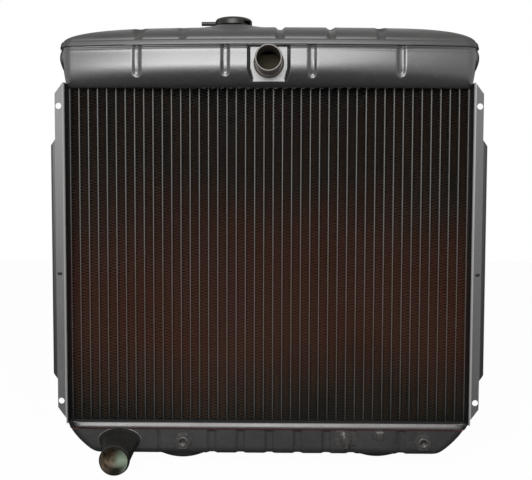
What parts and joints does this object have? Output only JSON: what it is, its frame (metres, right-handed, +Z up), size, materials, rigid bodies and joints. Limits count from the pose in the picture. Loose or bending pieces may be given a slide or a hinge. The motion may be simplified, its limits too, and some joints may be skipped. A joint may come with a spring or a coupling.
{
  "type": "car radiator",
  "caption": "Down-flow car radiator: domed top tank, rows of flat tubes with corrugated fins, side bolting flanges, hose necks, filler neck, oil-cooler ports, drain cock.",
  "frame": {"origin": "centre of the four flange bolt holes, on the flanges' rear (mating) face", "axes": "+Z up, +X across the car towards the oil-cooler's far port, -Y towards the engine; the car's support panel lies on the +Y side of the flanges"},
  "size_m": [0.6586, 0.1481, 0.6984],
  "materials": {
    "tank_paint": "semi-gloss black over brass",
    "header_paint": "semi-gloss black over brass",
    "core_tube_paint": "thin satin black over brass",
    "fin_copper": "copper under a thin dark spray coat",
    "bracket_paint": "satin black over steel",
    "neck_paint": "satin black over brass",
    "bare_brass": "dull bare brass",
    "painted_brass": "satin black over brass",
    "gasket_rubber": "matt black",
    "solder_paint": "satin black over solder"
  },
  "bodies": {
    "root": {"top_tank_tub": "tank_paint", "top_tank_lid": "tank_paint", "bottom_tank": "tank_paint", "top_header": "header_paint", "bottom_header": "header_paint", "tubes_front_row": "core_tube_paint", "tubes_middle_row": "core_tube_paint", "tubes_rear_row": "core_tube_paint", "fin_strips": "fin_copper", "left_side_bracket": "bracket_paint", "right_side_bracket": "bracket_paint", "upper_hose_neck": "neck_paint", "lower_hose_neck": "neck_paint", "upper_neck_collar": "neck_paint", "lower_neck_collar": "neck_paint", "upper_neck_baffle": "bare_brass", "filler_neck": "neck_paint", "overflow_nipple": "neck_paint", "oil_cooler_core": "bare_brass", "oil_cooler_left_port": "painted_brass", "oil_cooler_right_port": "painted_brass", "oil_cooler_left_nut": "painted_brass", "oil_cooler_right_nut": "painted_brass", "oil_cooler_gaskets": "gasket_rubber", "sensor_bush": "painted_brass", "sensor_plug": "painted_brass", "drain_cock_body": "painted_brass", "seam_solder": "solder_paint", "top_header_solder": "solder_paint", "bottom_header_solder": "solder_paint"},
    "drain_seal": {"drain_cock_seal": "gasket_rubber"},
    "drain_stem": {"drain_cock_stem": "painted_brass"}
  },
  "joints": [
    {"name": "drain_seal_lift", "type": "slide", "parent": "root", "child": "drain_seal", "axis": [0, -1, 0], "range_m": [0, 0.00281]},
    {"name": "drain_stem_turn", "type": "hinge", "parent": "drain_seal", "child": "drain_stem", "pos_m": [0.122, 0.0245, -0.288], "axis": [0, -1, 0], "range_deg": [0, 810]}
  ],
  "couplings": [
    {"joint": "drain_stem_turn", "follows": "drain_seal_lift", "rad_per_m": 5026.5}
  ]
}
